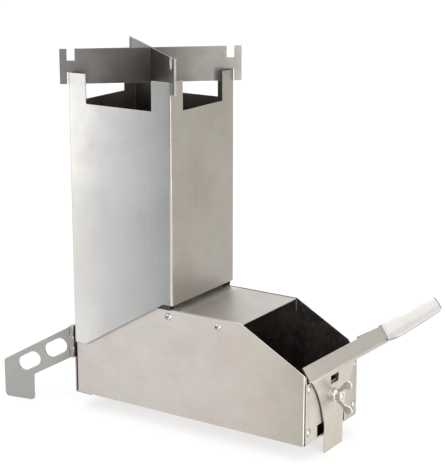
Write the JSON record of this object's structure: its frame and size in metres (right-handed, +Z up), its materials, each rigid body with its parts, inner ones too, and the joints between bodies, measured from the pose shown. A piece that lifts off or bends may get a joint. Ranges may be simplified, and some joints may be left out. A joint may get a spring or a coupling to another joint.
{
  "type": "rocket stove",
  "caption": "Stainless steel rocket stove: sloping feed box, lift-off square chimney with crossed pot supports, clamped front leg with side handle, and folding rear legs.",
  "frame": {"origin": "the middle of the front foot's sole, at ground level, in the stove's plane of symmetry", "axes": "-Y the way the feed mouth looks, +X towards the side handle, +Z up"},
  "size_m": [0.281, 0.3523, 0.3468],
  "materials": {
    "chimney_steel": "fine satin",
    "box_steel": "satin with soft blotches",
    "sooted_steel": "soot-blackened",
    "bracket_steel": "heat-darkened satin",
    "pot_support_steel": "satin, heat-tinted",
    "leg_plate_steel": "satin",
    "rear_leg_steel": "satin",
    "grip_steel": "bright, lightly brushed",
    "bright_fasteners": "bright"
  },
  "bodies": {
    "base": {"left_side_panel": "box_steel", "right_side_panel": "box_steel", "floor_plate": "box_steel", "front_panel": "box_steel", "rear_panel": "box_steel", "deck_plate": "box_steel", "fuel_grate": "sooted_steel", "deck_screws": "bright_fasteners", "deck_nuts": "sooted_steel", "front_rivets": "bright_fasteners", "rear_rivets": "bright_fasteners", "rear_bracket": "bracket_steel", "bracket_rivets": "bright_fasteners", "hinge_pin_left": "bright_fasteners", "hinge_pin_right": "bright_fasteners", "clamp_bolt": "bright_fasteners", "panel_washer": "bright_fasteners"},
    "chimney": {"chimney_wrap": "chimney_steel", "chimney_back": "chimney_steel", "seat_strip_left": "sooted_steel", "seat_strip_right": "sooted_steel"},
    "lower_support": {"pot_support_lower": "pot_support_steel"},
    "upper_support": {"pot_support_upper": "pot_support_steel"},
    "leg_plate": {"leg_handle_plate": "leg_plate_steel", "handle_grip": "grip_steel"},
    "clamp_washer": {"nut_washer": "bright_fasteners"},
    "clamp_nut": {"wing_nut": "bright_fasteners"},
    "left_leg": {"rear_leg_left": "rear_leg_steel"},
    "right_leg": {"rear_leg_right": "rear_leg_steel"}
  },
  "joints": [
    {"name": "chimney_lift", "type": "slide", "parent": "base", "child": "chimney", "axis": [0, 0, 1], "range_m": [0, 0.06]},
    {"name": "lower_support_lift", "type": "slide", "parent": "chimney", "child": "lower_support", "axis": [0, 0, 1], "range_m": [0, 0.04]},
    {"name": "upper_support_lift", "type": "slide", "parent": "lower_support", "child": "upper_support", "axis": [0, 0, 1], "range_m": [0, 0.04]},
    {"name": "leg_plate_pull", "type": "slide", "parent": "base", "child": "leg_plate", "axis": [0, -1, 0], "range_m": [0, 0.02]},
    {"name": "nut_travel", "type": "slide", "parent": "leg_plate", "child": "clamp_washer", "axis": [0, -1, 0], "range_m": [0, 0.0071]},
    {"name": "wing_nut_turn", "type": "hinge", "parent": "clamp_washer", "child": "clamp_nut", "pos_m": [0, -0.00305, 0.0504], "axis": [0, -1, 0], "range_deg": [0, 2520]},
    {"name": "left_leg_fold", "type": "hinge", "parent": "base", "child": "left_leg", "pos_m": [-0.0495, 0.25845, 0.0662], "axis": [0, 0, 1], "range_deg": [-100, 0]},
    {"name": "right_leg_fold", "type": "hinge", "parent": "base", "child": "right_leg", "pos_m": [0.0495, 0.25845, 0.0662], "axis": [0, 0, 1], "range_deg": [0, 95]}
  ],
  "couplings": [
    {"joint": "nut_travel", "follows": "wing_nut_turn", "m_per_rad": 0.00015915}
  ]
}
